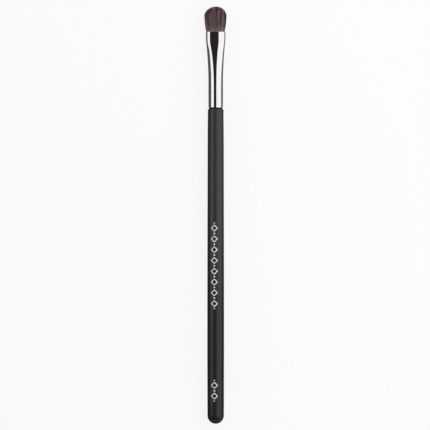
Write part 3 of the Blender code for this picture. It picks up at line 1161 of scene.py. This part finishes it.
@dataclass
class Binding:
    """Thread wound round the roots of the hair, inside the ferrule.

    Attributes:
        ferrule: The ferrule round it.
        low: Brush height of the winding's lower end.
        high: Brush height of its upper end.
        inset: Gap between the thread and the bore.
        thread_sides: Sides of the thread's section.
    """

    ferrule: Ferrule
    low: float
    high: float
    turns: int = 4
    thread_radius: float = 0.17 * MM
    inset: float = 0.13 * MM
    thread_sides: int = 12
    steps_a_turn: int = 64

    def build(self) -> bpy.types.Object:
        """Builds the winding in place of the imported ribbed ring."""
        work = bmesh.new()
        upright = Matrix.Translation((1.0, 0.0, 0.0)) @ Matrix.Rotation(math.pi / 2, 4, "X")
        bmesh.ops.create_circle(
            work,
            cap_ends=True,
            radius=self.thread_radius,
            segments=self.thread_sides,
            matrix=upright,
        )
        rise = self.high - self.low - 2 * self.thread_radius
        bmesh.ops.spin(
            work,
            geom=list(work.faces),
            cent=(0.0, 0.0, 0.0),
            axis=(0.0, 0.0, 1.0),
            dvec=(0.0, 0.0, rise / (self.turns * self.steps_a_turn)),
            angle=math.tau * self.turns,
            steps=self.turns * self.steps_a_turn,
            use_merge=False,
            use_normal_flip=False,
            use_duplicate=True,
        )
        depth = self.ferrule.wall + self.inset + self.thread_radius
        for vertex in work.verts:
            across = math.hypot(vertex.co.x, vertex.co.y) - 1.0
            height = self.low + self.thread_radius + vertex.co.z
            ring = self.ferrule.section(height).inset(depth)
            middle = ring.point(math.atan2(vertex.co.y, vertex.co.x))
            outward = Vector((middle.x, middle.y, 0.0)).normalized()
            vertex.co = middle + outward * across
        bmesh.ops.recalc_face_normals(work, faces=work.faces)
        finish = THREAD.material()
        piece = finished_piece("binding_thread", work, self.ferrule.axis, finish)
        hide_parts("root_binding")
        return piece


@dataclass
class Fillings:
    """The set resin and adhesive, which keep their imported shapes.

    Attributes:
        nodes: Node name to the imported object.
    """

    nodes: dict[str, bpy.types.Object]

    def dress(self) -> None:
        """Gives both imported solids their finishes."""
        for name, finish in (("root_resin", RESIN), ("tenon_adhesive", ADHESIVE)):
            materials = self.nodes[name].data.materials
            materials.clear()
            materials.append(finish.material())
            LOG.info("%s: dressed", name)


@dataclass(frozen=True)
class SoftBox:
    """A large soft lamp on one side of the brush.

    Attributes:
        name: The lamp's name.
        heading: The side it stands on, as a level direction.
        edge_degrees: Angles of its upper and lower edge off the vertical.
        length: Its level length.
        shift_y: How far it is moved along the brush, towards the tip.
        reach: Distance of both edges from the brush.
        mirrored: Whether gloss and plating show it.
    """

    name: str
    heading: tuple[float, float, float]
    edge_degrees: Span
    length: float
    shift_y: float = 0.0
    reach: float = 0.45
    mirrored: bool = True

    def edge(self, degrees: float) -> Vector:
        """Returns the middle of the edge at an angle off the vertical."""
        angle = math.radians(degrees)
        level = Vector(self.heading) * math.sin(angle)
        return (level + Vector((0.0, 0.0, math.cos(angle)))) * self.reach

    def build(self) -> bpy.types.Object:
        """Builds the lamp, facing the brush, with a face as bright as white."""
        upper, lower = (self.edge(degrees) for degrees in self.edge_degrees)
        centre = (upper + lower) / 2
        lamp = bpy.data.lights.new(self.name, "AREA")
        lamp.shape = "RECTANGLE"
        lamp.size = (upper - lower).length
        lamp.size_y = self.length
        lamp.energy = math.pi * lamp.size * lamp.size_y
        box = linked(self.name, lamp)
        box.rotation_euler = centre.to_track_quat("Z", "X").to_euler()
        box.location = centre + Vector((0.0, self.shift_y, 0.0))
        box.visible_camera = False
        box.visible_glossy = self.mirrored
        return box


@dataclass(frozen=True)
class ReflectionCard:
    """A low grey card beside the brush that only its gloss and plating show; it glows a fixed grey
    instead of being lit, a painted dark reflection for their edges.

    Attributes:
        name: The card's name.
        side: Distance from the brush's middle, negative to the left.
        height: Height of its upper edge.
        grey: Brightness of its glow.
        thickness: Its thickness.
        length: Its length along the brush.
        rise_degrees: How steeply it rises towards the butt.
        pivot_y: Place along Y where it has its height.
        far_drop: How much lower its upper edge is at the end towards the tip.
    """

    name: str
    side: float
    height: float
    grey: float = 0.09
    thickness: float = 0.5 * MM
    length: float = 400.0 * MM
    rise_degrees: float = 0.0
    pivot_y: float = 60.0 * MM
    far_drop: float = 0.0

    def build(self) -> bpy.types.Object:
        """Builds the card."""
        work = bmesh.new()
        size = Matrix.Diagonal((self.thickness, self.length, self.height, 1.0))
        turn = Matrix.Rotation(-math.radians(self.rise_degrees), 4, "X")
        place = Matrix.Translation((self.side, self.pivot_y, self.height)) @ turn
        below = Matrix.Translation((0.0, 0.0, -self.height / 2))
        box = bmesh.ops.create_cube(work, size=1.0, matrix=place @ below @ size)
        for corner in box["verts"]:
            if corner.co.y > self.pivot_y and corner.co.z > self.height / 2:
                corner.co.z -= self.far_drop
        card = linked(self.name, mesh_of(self.name, work))
        # Painted reflection: the card glows a fixed dark grey and shows only in reflections, as the
        # dark edges of the plating and gloss.
        paint = Paint(
            self.name,
            Base_Color=BLACK,
            Specular_IOR_Level=0.0,
            Emission_Color=WHITE,
            Emission_Strength=self.grey,
        )
        card.data.materials.append(paint.material)
        for ray in ("camera", "diffuse", "transmission", "volume_scatter", "shadow"):
            setattr(card, "visible_" + ray, False)
        return card


@dataclass(frozen=True)
class Photograph:
    """Where the brush lies in the photograph, in pixels of its square frame.

    Attributes:
        side_px: Side of the frame.
        tip_px: Row of the tip.
        butt_px: Row of the butt's end.
        middle_x_px: Column of the brush's middle.
    """

    side_px: float = 430.0
    tip_px: float = 6.3
    butt_px: float = 423.7
    middle_x_px: float = 215.7

    def metres_a_pixel(self, length: float) -> float:
        """Returns metres a pixel for a brush of a length."""
        return length / (self.butt_px - self.tip_px)


@dataclass
class Studio:
    """Pale floor, soft boxes at both sides and the camera straight above.

    Attributes:
        axis: The brush's axis.
        length: The brush's length.
        photo: Where the brush lies in the photograph.
        camera_height: Height of the camera over the brush.
        sensor: Width of the camera's sensor in millimetres.
        floor_half_side: Half the side of the floor.
        floor_colour: Colour of the floor under the lamps.
        floor_glow: Light that it adds for the eye and the metal alone.
        horizon_rise: Rise of the sky between which it turns from pale to dark.
        sky_dark: Colour of the ceiling.
        sky_pale: Colour of the horizon.
        boxes: The soft boxes.
        cards: The cards that shape the stripes in the ferrule.
    """

    axis: BrushAxis
    length: float
    photo: Photograph = field(default_factory=Photograph)
    camera_height: float = 1.5
    sensor: float = 36.0
    floor_half_side: float = 6.0
    floor_colour: Colour = (0.12, 0.12, 0.12, 1.0)
    floor_glow: float = 0.872
    horizon_rise: Span = (0.28, 0.32)
    sky_dark: Colour = (0.0195, 0.0180, 0.0175, 1.0)
    sky_pale: Colour = (0.96, 0.96, 0.96, 1.0)
    boxes: tuple[SoftBox, ...] = (
        SoftBox("left_box", (-1.0, 0.0, 0.0), (31.0, 73.0), length=0.72, shift_y=0.25),
        SoftBox("right_box", (1.0, 0.0, 0.0), (11.0, 73.0), length=0.72, shift_y=0.14),
        SoftBox("far_box", (0.6, 0.8, 0.0), (35.0, 75.0), length=0.5, mirrored=False),
        SoftBox("near_box", (0.6, -0.8, 0.0), (35.0, 75.0), length=0.5, mirrored=False),
    )
    cards: tuple[ReflectionCard, ...] = (
        ReflectionCard(
            "left_card",
            side=-CARD_SIDE,
            height=6.6 * MM,
            length=207.5 * MM,
            pivot_y=-36.25 * MM,
        ),
        ReflectionCard(
            "left_slant_card",
            side=-CARD_SIDE,
            height=6.6 * MM,
            length=2.0 * MM,
            pivot_y=68.5 * MM,
            far_drop=1.4 * MM,
        ),
        ReflectionCard(
            "left_front_card",
            side=-CARD_SIDE,
            height=5.2 * MM,
            length=190.5 * MM,
            pivot_y=164.75 * MM,
        ),
        ReflectionCard("right_card", CARD_SIDE, 4.5 * MM, grey=0.13, rise_degrees=0.7),
        # Painted shade: a dark glowing strip under the brush, which the reflections show as the
        # floor in the brush's shade.
        ReflectionCard("floor_shade_card", 0.0, 0.02 * MM, thickness=11.6 * MM),
    )

    def build_camera(self) -> bpy.types.Object:
        """Builds the camera so that the brush lies where it does in the photograph."""
        scale = self.photo.metres_a_pixel(self.length)
        middle = self.photo.side_px / 2
        data = bpy.data.cameras.new("camera")
        data.sensor_width = self.sensor
        data.lens = self.sensor * self.camera_height / (self.photo.side_px * scale)
        camera = linked("camera", data)
        brush_y = self.axis.butt.y + self.length / 2
        shift_x = (middle - self.photo.middle_x_px) * scale
        shift_y = ((self.photo.tip_px + self.photo.butt_px) / 2 - middle) * scale
        camera.location = (shift_x, brush_y + shift_y, self.axis.butt.z + self.camera_height)
        bpy.context.scene.camera = camera
        return camera

    def build_floor(self) -> bpy.types.Object:
        """Builds the floor, whose own pale colour shows to the eye and in the metal."""
        work = bmesh.new()
        bmesh.ops.create_grid(work, x_segments=1, y_segments=1, size=self.floor_half_side)
        floor = linked("floor", mesh_of("floor", work))
        paint = Paint(
            "pale_floor",
            Base_Color=self.floor_colour,
            Roughness=0.9,
            Specular_IOR_Level=0.0,
            Emission_Color=WHITE,
        )
        rays = paint.sheet.add("LightPath").outputs
        seen = paint.sheet.math("MAXIMUM", rays["Is Camera Ray"], rays["Is Glossy Ray"])
        seen = paint.sheet.math("MAXIMUM", seen, rays["Is Transmission Ray"])
        paint.feed("Emission Strength", paint.sheet.math("MULTIPLY", seen, self.floor_glow))
        floor.data.materials.append(paint.material)
        return floor

    def build_sky(self) -> None:
        """Builds a pale horizon under a dark ceiling."""
        world = bpy.data.worlds.new("studio")
        world.use_nodes = True
        sheet = NodeSheet(world.node_tree)
        up = sheet.parts(sheet.coordinates("Generated"))[2]
        rise = sheet.span(up, given=self.horizon_rise)
        colour = sheet.mix(rise, self.sky_pale, self.sky_dark)
        world.node_tree.links.new(colour, world.node_tree.nodes["Background"].inputs[0])
        bpy.context.scene.world = world

    def build(self) -> None:
        """Builds the whole studio."""
        bpy.context.scene.view_settings.view_transform = "Standard"
        self.build_camera()
        self.build_floor()
        self.build_sky()
        for item in self.boxes + self.cards:
            item.build()
        LOG.info("studio: %d soft boxes, %d cards", len(self.boxes), len(self.cards))


def main() -> None:
    """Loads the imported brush, builds every piece in order and sets up the studio."""
    logging.basicConfig(level=logging.INFO, format="%(message)s")
    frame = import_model()
    axis = BrushAxis.through(frame["nodes"]["ferrule"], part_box("handle")[0].y)
    ferrule = Ferrule(axis, *axis.ends("ferrule"))
    handle = Handle(axis, ferrule.start, axis.ends("handle")[1])
    tuft = HairTuft(ferrule, *axis.ends("hair_tuft"))
    binding = Binding(ferrule, *axis.ends("root_binding"))
    for item in (handle, ferrule, tuft, binding):
        item.build()
    Fillings(frame["nodes"]).dress()
    Studio(axis, tuft.tip).build()


if __name__ == "__main__":
    main()
